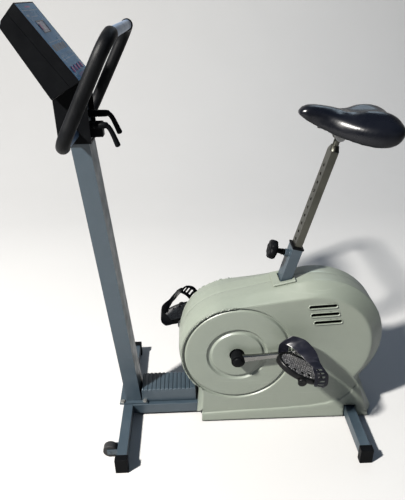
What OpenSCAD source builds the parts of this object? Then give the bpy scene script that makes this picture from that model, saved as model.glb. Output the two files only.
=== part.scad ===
// Upright exercise bike: an enclosed flywheel drive with pedals, a sliding seat post and a
// saddle, and a mast that carries a tilting loop handlebar and a console.
// Frame: origin on the floor under the middle of the bike, +X to the rear, +Y to the rider's
// right, +Z up. Millimetres.

/* [Frame] */
// Distance of the crank axis behind the middle of the bike
crank_x = 40.5; // [30:0.5:50]
// Height of the crank axis
crank_z = 260; // [255:1:270]
// Front stabilizer, ahead of the crank axis
front_reach = 349; // [345:1:355]
// Rear stabilizer, behind the crank axis
rear_reach = 362; // [358:1:366]
// Length of each stabilizer tube
stab_len = 544; // [520:1:570]
// Width of a stabilizer tube along the bike
stab_w = 30; // [28:1:32]
// Bottom of the base tubes above the floor
base_z = 11; // [10:1:14]
// Height of the base tubes
base_h = 36; // [34:1:38]
// Width of the base beam
beam_w = 111; // [100:1:116]
// Wall of the steel tubes
tube_wall = 2.5; // [2:0.5:3]

/* [Mast] */
// Mast foot, ahead of the crank axis
mast_reach = 331; // [328:1:334]
// Forward lean of the mast in degrees
mast_lean = 4.5; // [4:0.5:5]
// Mast section along the bike
mast_d = 48; // [46:1:50]
// Mast section across the bike
mast_w = 82; // [80:1:84]
// Length of the mast tube
mast_len = 955; // [945:1:960]

/* [Handlebar] */
// Height of the handlebar pivot
pivot_z = 931; // [926:1:936]
// Half width of the handlebar loop
loop_half = 215; // [205:1:220]
// Height of the loop along its own plane
loop_h = 268; // [260:1:275]
// Backward lean of the loop at rest in degrees
loop_lean = 29; // [27:1:31]
// Radius of the handlebar tube
bar_r = 12.5; // [12:0.5:13]
// Radius of the foam sleeves
foam_r = 15.6; // [15:0.1:17]
// Bend radius of the loop's corners
bend_r = 55; // [45:1:60]

/* [Console] */
// Width of the console
console_w = 156; // [150:1:164]
// Length of the console's face
face_len = 206; // [200:1:212]
// Slope of the face from the vertical in degrees
face_lean = 36; // [34:1:38]
// Number of console keys
key_count = 4; // [4:1:4]

/* [Shroud] */
// Radius of the shroud round the crank
front_r = 176; // [172:1:178]
// Radius of the shroud round the flywheel
rear_r = 213; // [208:1:214]
// Half width of the shroud at its side discs
shroud_half = 87; // [85:1:90]
// Half width of the flat band round the shroud
band_half = 45; // [40:1:50]
// Wall of the shroud
shroud_wall = 3; // [2.5:0.5:3.5]

/* [Drive] */
// Crank length
crank_len = 170; // [165:5:175]
// Angle of the left crank above the horizontal, to the rear, in degrees
crank_rise = 5; // [0:1:10]
// Radius of the drive pulley
pulley_r = 120; // [110:1:125]
// Radius of the flywheel's pulley
small_r = 18; // [16:1:20]
// Radius of the flywheel
wheel_r = 125; // [118:1:126]
// Tilt of the left pedal at rest, toe up, in degrees
left_tilt = 30; // [0:1:35]
// Tilt of the right pedal at rest, toe down, in degrees
right_tilt = 18; // [0:1:40]

/* [Seat] */
// Backward lean of the seat tube in degrees
seat_lean = 16; // [15:1:17]
// Exposed length of the seat post
post_out = 294; // [270:1:300]
// Pitch of the post's adjustment holes
hole_pitch = 25; // [25:1:30]
// Saddle length
saddle_len = 256; // [250:1:262]
// Saddle width
saddle_w = 216; // [210:1:222]

/* [Hidden] */
$fn = 64;
hull_fn = 32;
fit = 0.05;                       // radial clearance of a running fit
gap = 0.3;                        // clearance between faces of different bodies
base_top = base_z + base_h;
front_x = crank_x - front_reach;
rear_x = crank_x + rear_reach;
mast_x = crank_x - mast_reach;
foot_t = 6;                       // thickness of the mast's foot plate
mast_back = mast_x - 910 * tan(mast_lean) + mast_d / 2;  // rear face of the mast at the levers
pivot_x = mast_x - (pivot_z - base_top) * tan(mast_lean) - 7.5;
face_x = crank_x - 371;           // lower edge of the console's face
face_z = 1059;
seam_d = 26;                      // depth of the console's front half
fly_x = crank_x + 250;            // flywheel axis
fly_z = crank_z + 8;
rear_cx = crank_x + 238;          // centre of the shroud's rear round
rear_cz = crank_z + 16;
skirt_z = 6;                      // lower edge of the shroud
seat_x = crank_x + 23.7;          // foot of the seat tube on the beam
mouth = 552;                      // length of the seat tube
tube_d = 30;                      // seat tube section along the bike
tube_w = 50;                      // and across it
post_d = 20;
post_w = 40;
post_in = 222;                    // inserted length of the seat post
pin_z = mouth - 26;               // height of the locking pin up the tube
spigot_top = mouth + post_out + 40;
arm_y = 105;                      // middle plane of the crank arms
arm_t = 13;
belt_y = 41;                      // middle plane of the belt
belt_w = 9;
pedal_y = 174;                    // middle of a pedal
pedal_w = 98;
pedal_l = 150;
pedal_t = 18;
strap_r = 62;                     // radius of a pedal strap's arch
strap_turn = 48;                  // the arch runs from the inboard toe corner to the outboard heel corner
wheel_x = front_x - stab_w / 2 - 25;
wheel_y = 208;
wheel_z = 23;
lever_y = 24;
lever_mid = 956;                  // mean height of the two levers
lever_step = 10;                  // the right lever stands above the mean, the left one below
function lever_z(side) = lever_mid + side * lever_step;

// ---- helpers -------------------------------------------------------------------------

// Cuboid between two opposite corners.
module block(lo, hi) {
    translate(lo) cube(hi - lo);
}

// Round bar along Y.
module bar_y(r, y0, y1) {
    translate([0, y1, 0]) rotate([90, 0, 0]) cylinder(h = y1 - y0, r = r);
}

// Round bar along X.
module bar_x(r, x0, x1) {
    translate([x0, 0, 0]) rotate([0, 90, 0]) cylinder(h = x1 - x0, r = r);
}

// An outline in X and Z, extruded between two values of Y.
module slab_y(y0, y1) {
    translate([0, y1, 0]) rotate([90, 0, 0]) linear_extrude(y1 - y0) children();
}

// Rectangular tube along Z with open ends.
module square_tube(d, w, h, wall) {
    difference() {
        translate([-d / 2, -w / 2, 0]) cube([d, w, h]);
        translate([-d / 2 + wall, -w / 2 + wall, -1]) cube([d - 2 * wall, w - 2 * wall, h + 2]);
    }
}

module on_mast() { translate([mast_x, 0, base_top + foot_t]) rotate([0, -mast_lean, 0]) children(); }
module on_seat() { translate([seat_x, 0, base_top]) rotate([0, seat_lean, 0]) children(); }
module on_face() { translate([face_x, 0, face_z]) rotate([0, -face_lean, 0]) children(); }
module on_loop() { translate([pivot_x, 0, pivot_z]) rotate([0, loop_lean, 0]) children(); }
module at_crank() { translate([crank_x, 0, crank_z]) children(); }
module at_flywheel() { translate([fly_x, 0, fly_z]) children(); }

// side -1 is the left pedal, 1 the right one; each stands half a turn from the other.
function pedal_x(side) = crank_x - side * crank_len * cos(crank_rise);
function pedal_z(side) = crank_z - side * crank_len * sin(crank_rise);
module at_pedal(side) {
    translate([pedal_x(side), side * pedal_y, pedal_z(side)]) rotate([0, side < 0 ? left_tilt : -right_tilt, 0]) children();
}

// ---- base ----------------------------------------------------------------------------

module base_beam() {
    color("slategray") difference() {
        block([front_x + stab_w / 2, -beam_w / 2, base_z], [rear_x - stab_w / 2, beam_w / 2, base_top]);
        block([front_x, -beam_w / 2 + tube_wall, base_z + tube_wall],
              [rear_x, beam_w / 2 - tube_wall, base_top - tube_wall]);
    }
}

module stabilizer(x) {
    color("slategray") difference() {
        block([x - stab_w / 2, -stab_len / 2, base_z], [x + stab_w / 2, stab_len / 2, base_top]);
        block([x - stab_w / 2 + tube_wall, -stab_len, base_z + tube_wall],
              [x + stab_w / 2 - tube_wall, stab_len, base_top - tube_wall]);
    }
}

cap_t = 3.5;                      // wall of the end caps
cap_in = 14;                      // length of tube that a cap covers
module end_caps(x) {
    color("black") for (side = [-1, 1]) difference() {
        hull() for (y = [stab_len / 2 - cap_in, stab_len / 2 + 4])
            block([x - stab_w / 2 - cap_t, side * y - 2, 0], [x + stab_w / 2 + cap_t, side * y + 2, base_top + cap_t]);
        block([x - stab_w / 2, -stab_len / 2, base_z], [x + stab_w / 2, stab_len / 2, base_top]);
    }
}

wheel_w = 22;
module wheel_brackets() {
    color("dimgray") for (side = [-1, 1]) translate([0, side * wheel_y, 0]) {
        for (y = [-wheel_w / 2 - 4, wheel_w / 2 + 1])
            block([wheel_x - 8, y, wheel_z - 8], [front_x - stab_w / 2, y + 3, wheel_z + 10]);
        block([front_x - stab_w / 2 - 3, -wheel_w / 2 - 1, wheel_z - 8],
              [front_x - stab_w / 2, wheel_w / 2 + 1, wheel_z + 10]);
        translate([wheel_x, 0, wheel_z]) bar_y(4, -wheel_w / 2 - 6, wheel_w / 2 + 6);
    }
}

module transport_wheel(side) {
    color("black") translate([wheel_x, side * wheel_y, wheel_z]) difference() {
        bar_y(21, -wheel_w / 2, wheel_w / 2);
        bar_y(4 + fit, -wheel_w, wheel_w);
    }
}

module step_cover() {
    x0 = crank_x - 304;
    x1 = crank_x - 129;
    half = 42;
    top = 98;
    color("slategray") difference() {
        union() {
            block([x0, -half, base_top], [x1, half, top]);
            for (x = [x0 + 8 : 13.5 : x1 - 8])
                block([x - 4, -half + 4, top], [x + 4, half - 4, top + 2.5]);
        }
        block([x0 + 3, -half + 3, base_top - 1], [x1 - 3, half - 3, top - 3]);
        // room for the mast's foot plate and its bolts
        block([x0 - 1, -half - 1, base_top - 1], [mast_x + 46, half + 1, base_top + foot_t + 6]);
    }
}

// ---- mast, clamp and handlebar -------------------------------------------------------

module mast() {
    color("slategray") difference() {
        union() {
            on_mast() square_tube(mast_d, mast_w, mast_len, tube_wall);
            block([mast_x - 45, -52, base_top], [mast_x + 45, 52, base_top + foot_t]);
        }
        translate([pivot_x, 0, pivot_z]) bar_y(bar_r + fit, -100, 100);
        for (x = [-36, 36], y = [-46, 46])
            translate([mast_x + x, y, base_top - 1]) cylinder(h = foot_t + 2, r = 4.5);
        for (side = [-1, 1])
            translate([mast_back, side * lever_y, lever_z(side)]) bar_x(4 + fit, -20, 20);
    }
}

module mast_bolts() {
    color("silver") for (x = [-36, 36], y = [-46, 46])
        translate([mast_x + x, y, base_top + foot_t]) {
            cylinder(h = 5.5, r = 7.5, $fn = 6);
            translate([0, 0, -foot_t]) cylinder(h = foot_t, r = 4);
        }
}

module clamp_bracket() {
    color("slategray") difference() {
        union() {
            block([mast_back - 4, -14, 914], [mast_back + 37, 14, 950]);
            for (side = [-1, 1]) translate([mast_back, side * lever_y, lever_z(side)]) bar_x(9.4, -4, 12);
        }
        block([mast_back - 20, -11, 913], [mast_back + 33, 11, 951]);
        on_mast() translate([-mast_d, -mast_w / 2, 0]) cube([1.5 * mast_d, mast_w, mast_len]);
        for (side = [-1, 1]) translate([mast_back, side * lever_y, lever_z(side)]) bar_x(4 + fit, -20, 20);
    }
}

// Lever that clamps the handlebar: a screw, a hub along X and a bent arm.
module clamp_lever(side) {
    color("black") translate([mast_back, side * lever_y, lever_z(side)]) {
        bar_x(4, -4, 20);
        bar_x(9, 12 + gap, 56);
        hull() {
            translate([50, 0, 0]) sphere(r = 7, $fn = hull_fn);
            translate([76, side * 4, -56]) sphere(r = 6.5, $fn = hull_fn);
        }
    }
}

neck_half = 48;
neck_front = crank_x - 448;
neck_back = crank_x - 367;
neck_low = 906;
module neck_profile(inset) {
    polygon([[neck_front + inset, neck_low], [neck_front + inset, 1014], [neck_front + 78 + inset / 2, 1058],
             [neck_back - inset, 1054], [neck_back - inset, neck_low]]);
}

module neck_cover() {
    color("black") difference() {
        slab_y(-neck_half, neck_half) neck_profile(0);
        slab_y(-neck_half + 3, neck_half - 3) offset(delta = 1) neck_profile(4);
        block([neck_back - 20, -neck_half + 3, 912], [neck_back + 5, neck_half - 3, 1040]);
        translate([pivot_x, 0, pivot_z]) bar_y(bar_r + 1.5, -100, 100);
    }
}

module handlebar() {
    color("slategray") on_loop() {
        for (side = [0, 1]) mirror([0, side, 0]) bar_side();
        bar_y(bar_r, -loop_half + bend_r, loop_half - bend_r);
        translate([0, 0, loop_h]) bar_y(bar_r, -loop_half + bend_r, loop_half - bend_r);
    }
}

module bar_side() {
    bend(bar_r, 0);
    translate([0, loop_half, bend_r]) cylinder(h = loop_h - 2 * bend_r, r = bar_r);
    translate([0, 0, loop_h]) mirror([0, 0, 1]) bend(bar_r, 0);
}

// Lower bend of the loop on the +Y side, as a solid or as a sleeve.
module bend(outer, inner) {
    translate([0, loop_half - bend_r, bend_r]) rotate([0, 90, 0]) rotate_extrude(angle = 90)
        translate([bend_r, 0]) difference() {
            circle(r = outer);
            if (inner > 0) circle(r = inner);
        }
}

module foam(side) {
    color("black") on_loop() mirror([0, side < 0 ? 1 : 0, 0]) {
        bend(foam_r, bar_r);
        translate([0, loop_half, bend_r]) difference() {
            cylinder(h = loop_h - 2 * bend_r, r = foam_r);
            translate([0, 0, -1]) cylinder(h = loop_h, r = bar_r);
        }
        translate([0, 0, loop_h]) mirror([0, 0, 1]) bend(foam_r, bar_r);
    }
}

// ---- console -------------------------------------------------------------------------

plate_t = 1.6;                    // thickness of the faceplate
module console_profile() {
    polygon([[0, 0], [0, face_len], [-48, face_len - 8], [-61, face_len - 17], [-81, 9]]);
}

module console_hollow() {
    slab_y(-console_w / 2 + 2.5, console_w / 2 - 2.5) offset(delta = -2.5) console_profile();
}

module key_holes(r) {
    for (i = [0 : key_count - 1]) translate([0, key_y(i), key_row]) bar_x(r, -40, 5);
}

key_row = 30;
function key_y(i) = (i - (key_count - 1) / 2) * 32;
window_lo = [128, -31];           // lower edge and left side of the display window
window_hi = [156, 31];

module console_back() {
    color("black") on_face() difference() {
        slab_y(-console_w / 2, console_w / 2) console_profile();
        console_hollow();
        block([-seam_d, -200, -50], [50, 200, 300]);
        block([-90, -neck_half + 3, -20], [-seam_d - 8, neck_half - 3, 60]);
    }
}

module console_front() {
    color("black") on_face() difference() {
        slab_y(-console_w / 2, console_w / 2) console_profile();
        console_hollow();
        block([-200, -200, -50], [-seam_d, 200, 300]);
        block([-plate_t, -console_w / 2 + 3, 3], [5, console_w / 2 - 3, face_len - 3]);
        block([-10, window_lo[1], window_lo[0]], [5, window_hi[1], window_hi[0]]);
        key_holes(9.5);
    }
}

module faceplate() {
    color("steelblue") on_face() difference() {
        block([-plate_t, -console_w / 2 + 3, 3], [0, console_w / 2 - 3, face_len - 3]);
        block([-10, window_lo[1], window_lo[0]], [5, window_hi[1], window_hi[0]]);
        key_holes(8);
    }
}

module display_window() {
    color("thistle") on_face() block([-4, window_lo[1], window_lo[0]], [-0.4, window_hi[1], window_hi[0]]);
}

module key(i) {
    color("orchid") on_face() translate([0, key_y(i), key_row]) {
        bar_x(8 - gap, -6, 1.8);
        bar_x(11, -6, -4.4);
    }
}

// ---- shroud --------------------------------------------------------------------------

// Outer form of the shroud, shrunk by an inset to give its hollow.
module shroud_form(inset) {
    side_front = front_r - 13;
    side_rear = rear_r - 30;
    hull() {
        at_crank() bar_y(front_r - inset, -band_half, band_half);
        at_crank() bar_y(side_front - inset, -shroud_half + inset, shroud_half - inset);
        translate([rear_cx, 0, rear_cz]) bar_y(rear_r - inset, -band_half, band_half);
        translate([rear_cx - 8, 0, rear_cz]) bar_y(side_rear - inset, -shroud_half + 6 + inset, shroud_half - 6 - inset);
    }
    hull() {
        block([crank_x - 128 + inset, -70 + inset, skirt_z - inset], [crank_x + 60, 70 - inset, 165]);
        block([crank_x - 108 + inset, -shroud_half + inset, skirt_z - inset], [crank_x + 60, shroud_half - inset, 165]);
        block([crank_x + 60, -shroud_half + inset, skirt_z - inset], [crank_x + 425 - inset, shroud_half - inset, skirt_z + 4]);
        block([crank_x + 60, -58 + inset, skirt_z - inset], [crank_x + 447 - inset, 58 - inset, skirt_z + 4]);
        block([crank_x + 60, -shroud_half + inset, skirt_z - inset], [crank_x + 392 - inset, shroud_half - inset, 130 - inset]);
    }
}

module shroud_half_shell(side) {
    color("honeydew") difference() {
        intersection() {
            difference() {
                shroud_form(0);
                shroud_form(shroud_wall);
            }
            block([-600, side < 0 ? -200 : 0, 0], [600, side < 0 ? 0 : 200, 600]);
        }
        at_crank() bar_y(22, -200, 200);
        screws(3.5, 1);
        // the seat tube's opening, the rear stabilizer's notch and the beam's way in
        on_seat() translate([-tube_d / 2 - 2, -tube_w / 2 - 2, 300]) cube([tube_d + 4, tube_w + 4, 300]);
        block([rear_x - 17, -200, 0], [rear_x + 17, 200, base_top + 2]);
        block([crank_x - 200, -beam_w / 2 - 1, 0], [rear_x, beam_w / 2 + 1, base_top + 1]);
        for (vent = vents) translate([crank_x + vent[0], 0, vent[1]]) rotate([0, -2.5, 0])
            block([-41, -200, -4], [41, 200, 4]);
    }
}

// Middle of each cooling slot: distance behind the crank, and height.
vents = [[247, 424], [255.5, 396], [266, 369]];

// Screws of the shroud: two in the top band beside the seam and two low on each side.
top_slope = atan((rear_cz - crank_z) / (rear_cx - crank_x)) + asin((rear_r - front_r) / norm([rear_cx - crank_x, rear_cz - crank_z]));
function band_top(x) = crank_z + front_r / cos(top_slope) + (x - crank_x) * tan(top_slope);
module screws(r, top) {
    translate([crank_x + 39, -11, band_top(crank_x + 39)]) rotate([0, -top_slope, 0])
        translate([0, 0, -5]) cylinder(h = 5 + top, r = r);
    translate([crank_x + 243, -11, rear_cz + rear_r]) translate([0, 0, -5]) cylinder(h = 5 + top, r = r);
    for (side = [-1, 1], x = [crank_x - 96, crank_x + 330])
        translate([x, side * shroud_half, 24]) rotate([side * -90, 0, 0])
            translate([0, 0, -4]) cylinder(h = 4 + top, r = r);
}

module shroud_screws() {
    color("gray") screws(3.4, -0.8);
}

collar_h = 13;
module seat_collar() {
    color("honeydew") difference() {
        translate([crank_x + 143, 0, crank_z + 208]) rotate([0, -12, 0])
            translate([-34, -40, -1]) cube([68, 80, collar_h]);
        on_seat() translate([-tube_d / 2 - 1, -tube_w / 2 - 1, 300]) cube([tube_d + 2, tube_w + 2, 300]);
        shroud_form(0);
    }
}

// ---- seat ----------------------------------------------------------------------------

module seat_tube() {
    color("slategray") difference() {
        union() {
            on_seat() square_tube(tube_d, tube_w, mouth, 2);
            on_seat() translate([0, 0, pin_z]) bar_x(11, -tube_d / 2 - 12, -tube_d / 2);
            slab_y(-3, 3) polygon([[seat_x + 12, base_top - 1], [seat_x + 95, base_top - 1], [seat_x + 58, base_top + 150],
                                   [seat_x + 50, base_top + 150]]);
        }
        on_seat() translate([-tube_d / 2 + 2, -tube_w / 2 + 2, -1]) cube([tube_d - 4, tube_w - 4, mouth + 2]);
        on_seat() translate([0, 0, pin_z]) bar_x(4 + fit, -40, 0);
        block([seat_x - 60, -60, 0], [seat_x + 120, 60, base_top]);
    }
}

module seat_bush() {
    color("black") on_seat() difference() {
        union() {
            translate([-tube_d / 2 + 2, -tube_w / 2 + 2, mouth - 60]) cube([tube_d - 4, tube_w - 4, 61]);
            translate([-tube_d / 2 - 2, -tube_w / 2 - 2, mouth]) cube([tube_d + 4, tube_w + 4, 5]);
        }
        translate([-post_d / 2 - gap / 2, -post_w / 2 - gap / 2, mouth - 70]) cube([post_d + gap, post_w + gap, 90]);
        translate([0, 0, pin_z]) bar_x(5, -40, 0);
    }
}

module seat_knob() {
    color("black") on_seat() translate([-tube_d / 2, 0, pin_z]) {
        bar_x(4, -50, 4.5);
        bar_x(9, -37, -12.5);
        bar_x(27, -60, -37);
        for (a = [0 : 45 : 315]) rotate([a, 0, 0]) translate([0, 0, 25]) bar_x(4.5, -58, -39);
    }
}

module seat_post() {
    color("gainsboro") on_seat() difference() {
        union() {
            translate([0, 0, mouth - post_in]) square_tube(post_d, post_w, post_in + post_out - 4, 1.8);
            translate([0, 0, mouth + post_out - 30]) cylinder(h = 56, r = 8.5);
            translate([0, 0, mouth + post_out - 30])
                translate([-post_d / 2 + 1, -post_w / 2 + 1, 0]) cube([post_d - 2, post_w - 2, 12]);
            translate([0, 0, spigot_top]) bar_y(12, -14, 14);
            translate([0, 0, spigot_top - 20]) cylinder(h = 20, r = 8.5);
        }
        for (z = [mouth - post_in + 20 : hole_pitch : mouth + post_out - 45])
            translate([0, 0, z]) bar_x(4.5, -20, 0);
        translate([0, 0, spigot_top]) bar_y(5 + fit, -40, 40);
    }
}

module post_cap() {
    color("silver") on_seat() translate([0, 0, mouth + post_out - 4]) difference() {
        hull() {
            translate([-post_d / 2, -post_w / 2, 0]) cube([post_d, post_w, 2]);
            cylinder(h = 16, r = 11, $fn = hull_fn);
        }
        translate([0, 0, -20]) cylinder(h = 60, r = 8.5);
    }
}

pan_z = 924;                      // top of the pan under the pad
pan_t = 5;

// Saddle parts are placed from the tilt pin at the top of the seat post.
tilt_x = seat_x + spigot_top * sin(seat_lean);
tilt_z = base_top + spigot_top * cos(seat_lean);
module saddle_clamp() {
    color("dimgray") translate([tilt_x, 0, tilt_z]) {
        bar_y(5, -27, 27);
        for (side = [-1, 1]) difference() {
            union() {
                block([-16, side * 17 - 2.5, -2], [16, side * 17 + 2.5, 17]);
                bar_y(14, side * 17 - 2.5, side * 17 + 2.5);
            }
            bar_y(5, -50, 50);
        }
        block([-24, -22, 15], [34, 22, pan_z - pan_t - tilt_z]);
    }
}

nose_x = crank_x + 149;
pad_top = 966;
pad_low = 890;                    // lowest edge of the pad, at its rear
lobe_r = saddle_w / 2 - 46;
lobe_x = nose_x + saddle_len - lobe_r;

module pad_disc(x, y, r, z0, z1) {
    translate([x, y, z0]) cylinder(h = z1 - z0, r = r, $fn = hull_fn);
}

module pad_waist() { pad_disc(nose_x + 92, 0, 40, 911, 964); }

module saddle_cushion() {
    color("black") difference() {
        union() {
            hull() {
                translate([nose_x + 15, 0, 959]) sphere(r = 15, $fn = hull_fn);
                pad_disc(nose_x + 46, 0, 24, 943, 976);
                pad_waist();
            }
            hull() {
                pad_waist();
                for (side = [-1, 1]) {
                    pad_disc(lobe_x, side * 46, lobe_r - 10, pad_low, pad_low + 10);
                    pad_disc(lobe_x, side * 46, lobe_r, pad_low + 14, pad_top - 26);
                    pad_disc(lobe_x - 4, side * 46, lobe_r - 26, pad_top - 10, pad_top);
                }
            }
        }
        pan(100);
    }
}

// Space under the pad, from a narrow front to a wide rear.
module pan(drop) {
    translate([0, 0, pan_z - drop]) linear_extrude(drop) hull() {
        translate([nose_x + 72, 0]) circle(r = 12);
        for (side = [-1, 1]) translate([lobe_x + 4, side * 42]) circle(r = lobe_r - 22);
    }
}

module saddle_base() {
    color("black") pan(pan_t);
}

// ---- drive ---------------------------------------------------------------------------

shell_half = 30;
module bracket_shell() {
    color("slategray") difference() {
        union() {
            at_crank() bar_y(22, -shell_half, shell_half);
            block([crank_x - 38, -25, base_top], [crank_x - 3, 25, crank_z - 5]);
        }
        at_crank() bar_y(17, -50, 50);
        block([crank_x - 35, -22, base_top - 1], [crank_x - 6, 22, crank_z - 30]);
    }
}

module crank_bearings() {
    color("silver") at_crank() for (y = [-shell_half, shell_half - 12]) difference() {
        bar_y(17 - fit, y, y + 12);
        bar_y(8.5 + fit, -50, 50);
    }
}

module crank_spindle() {
    color("silver") at_crank() bar_y(8.5, -118, 118);
}

// Arm of the crank: hub, bar and the eye that holds the pedal spindle.
module crank(side) {
    color("silver") at_crank() rotate([0, side < 0 ? -crank_rise : 180 - crank_rise, 0]) difference() {
        union() {
            bar_y(15, side * arm_y - 9, side * arm_y + 9);
            block([0, side * arm_y - arm_t / 2, -9], [crank_len, side * arm_y + arm_t / 2, 9]);
            translate([crank_len, 0, 0]) bar_y(12, side * arm_y - arm_t / 2, side * arm_y + arm_t / 2);
        }
        bar_y(8.5, -150, 150);
        translate([crank_len, 0, 0]) bar_y(6, -150, 150);
    }
}

module crank_covers() {
    color("black") at_crank() for (side = [-1, 1]) rotate([0, side < 0 ? -crank_rise : 180 - crank_rise, 0])
        difference() {
            bar_y(20, side * (arm_y - 1) - 15, side * (arm_y - 1) + 17);
            bar_y(15, side * arm_y - 9, side * arm_y + 9);
            bar_y(8.5, -118, 118);
            block([0, side * arm_y - arm_t / 2, -9], [40, side * arm_y + arm_t / 2, 9]);
        }
}

module drive_pulley() {
    color("dimgray") at_crank() difference() {
        union() {
            difference() {
                bar_y(pulley_r, belt_y - 6, belt_y + 6);
                bar_y(pulley_r - 14, belt_y - 10, belt_y - 2);
                bar_y(pulley_r - 14, belt_y + 2, belt_y + 10);
            }
            bar_y(20, belt_y - 8, belt_y + 8);
        }
        bar_y(8.5, 0, 100);
        for (a = [0 : 60 : 300]) rotate([0, a, 0]) translate([65, 0, 0]) bar_y(22, 0, 100);
    }
}

// The belt's loop: both pulleys' rounds joined by their tangents.
module belt_outline(grow) {
    hull() {
        translate([crank_x, crank_z]) circle(r = pulley_r + grow);
        translate([fly_x, fly_z]) circle(r = small_r + grow);
    }
}

module drive_belt() {
    color("black") slab_y(belt_y - belt_w / 2, belt_y + belt_w / 2) difference() {
        belt_outline(gap + 2);
        belt_outline(gap);
    }
}

module flywheel() {
    color("dimgray") at_flywheel() difference() {
        union() {
            difference() {
                bar_y(wheel_r, -16, 12);
                bar_y(wheel_r - 22, -20, -8);
                bar_y(wheel_r - 22, 4, 20);
            }
            bar_y(20, -18, 16);
            bar_y(14, 10, belt_y - 6);
            bar_y(small_r, belt_y - 6, belt_y + 6);
        }
        bar_y(8 + fit, -50, 80);
    }
}

module flywheel_axle() {
    color("silver") at_flywheel() {
        bar_y(8, -38, 66);
        for (y = [-38, 60]) translate([0, y + 6, 0]) rotate([90, 0, 0]) cylinder(h = 6, r = 13, $fn = 6);
    }
}

plate_spots = [-28, 54];
module flywheel_brackets() {
    color("slategray") difference() {
        for (y = plate_spots) {
            slab_y(y, y + 4) polygon([[fly_x - 60, base_top], [fly_x + 40, base_top], [fly_x + 18, fly_z], [fly_x - 18, fly_z]]);
            at_flywheel() bar_y(24, y, y + 4);
        }
        at_flywheel() bar_y(8, -80, 80);
        translate([idler_px, 0, idler_pz]) bar_y(5, 0, 80);
    }
}

brake_x = fly_x + 124;            // hinge of the magnet bracket
brake_z = fly_z - 66;
module magnet_bracket() {
    color("gray") difference() {
        union() {
            at_flywheel() intersection() {
                difference() { bar_y(wheel_r + 12, -13, 9); bar_y(wheel_r + 4, -20, 20); }
                block([60, -50, -62], [200, 50, 95]);
            }
            translate([brake_x, 0, brake_z]) bar_y(9, -13, 9);
        }
        translate([brake_x, 0, brake_z]) bar_y(4 + fit, -50, 50);
    }
}

module magnet_post() {
    color("slategray") difference() {
        union() {
            for (y = [-18, 11]) translate([0, y, 0]) {
                block([brake_x - 9, 0, base_top], [brake_x + 9, 3, brake_z]);
                translate([brake_x, 0, brake_z]) bar_y(9, 0, 3);
            }
            block([brake_x - 14, -18, base_top], [brake_x + 9, 14, base_top + 3]);
            translate([brake_x, 0, brake_z]) bar_y(4, -22, 18);
        }
        block([rear_x + 20, -60, 0], [rear_x + 80, 60, base_top]);
    }
}

module resistance_motor() {
    color("dimgray") {
        block([fly_x + 45, -50, base_top], [fly_x + 96, -22, base_top + 44]);
        translate([fly_x + 70, -22, base_top + 24]) bar_y(8, 0, 10);
    }
}

// The idler presses on the belt's lower run from outside, from a pin on the right-hand plate.
idler_px = fly_x - 28;
idler_pz = crank_z - 140;
idler_r = 15;
run_angle = asin((pulley_r - small_r) / norm([fly_x - crank_x, fly_z - crank_z])) + atan((fly_z - crank_z) / (fly_x - crank_x));
idler_x = crank_x + 150;
idler_z = crank_z + (idler_x - crank_x) * tan(run_angle) - (pulley_r + 2 * gap + 2 + idler_r) / cos(run_angle);
module idler_arm() {
    color("slategray") difference() {
        union() {
            slab_y(belt_y + 7, belt_y + 12) hull() {
                translate([idler_px, idler_pz]) circle(r = 12);
                translate([idler_x, idler_z]) circle(r = 11);
            }
            translate([idler_x, 0, idler_z]) bar_y(4, belt_y - 8, belt_y + 8);
            translate([idler_px, 0, idler_pz]) bar_y(5 - fit, belt_y + 8, 62);
        }
    }
}

module idler_pulley() {
    color("dimgray") translate([idler_x, 0, idler_z]) difference() {
        bar_y(idler_r, belt_y - 6, belt_y + 6);
        bar_y(4 + fit, 0, 80);
    }
}

module pedal_spindles() {
    color("silver") for (side = [-1, 1])
        translate([pedal_x(side), 0, pedal_z(side)])
            bar_y(6, side < 0 ? -pedal_y - 40 : arm_y - arm_t / 2, side < 0 ? -arm_y + arm_t / 2 : pedal_y + 40);
}

// Corner of the platform that holds one end of the strap: end -1 inboard, 1 outboard.
module at_strap(side) { rotate([0, 0, -side * strap_turn]) children(); }

module pedal(side) {
    color("dimgray") at_pedal(side) difference() {
        union() {
            translate([0, 0, -pedal_t / 2]) linear_extrude(pedal_t) hull() {
                for (x = [-1, 1]) translate([x * (pedal_l - pedal_w) / 2, 0]) circle(r = pedal_w / 2);
            }
            bar_y(12, side < 0 ? -pedal_w / 2 - 9 : -pedal_w / 2, side < 0 ? pedal_w / 2 : pedal_w / 2 + 9);
        }
        bar_y(6 + fit, side < 0 ? -41 : -80, side < 0 ? 80 : 41);
        for (x = [-2 : 2]) translate([x * 24, side * (36 - 2.5 * x * x), -30]) cylinder(h = 60, r = 3.5);
        translate([0, 0, pedal_t / 2 - 4]) at_strap(side) arch(40, gap / 4);
    }
}

// A half ring that stands on the platform, its feet let into it.
module arch(width, grow) {
    difference() {
        bar_x(strap_r + grow, -width / 2, width / 2);
        bar_x(strap_r - 3 - grow, -width, width);
        block([-width, -100, -100], [width, 100, 0]);
    }
}

module strap(side) {
    color("black") at_pedal(side) translate([0, 0, pedal_t / 2 - 4]) at_strap(side) arch(36, 0);
}

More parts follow.
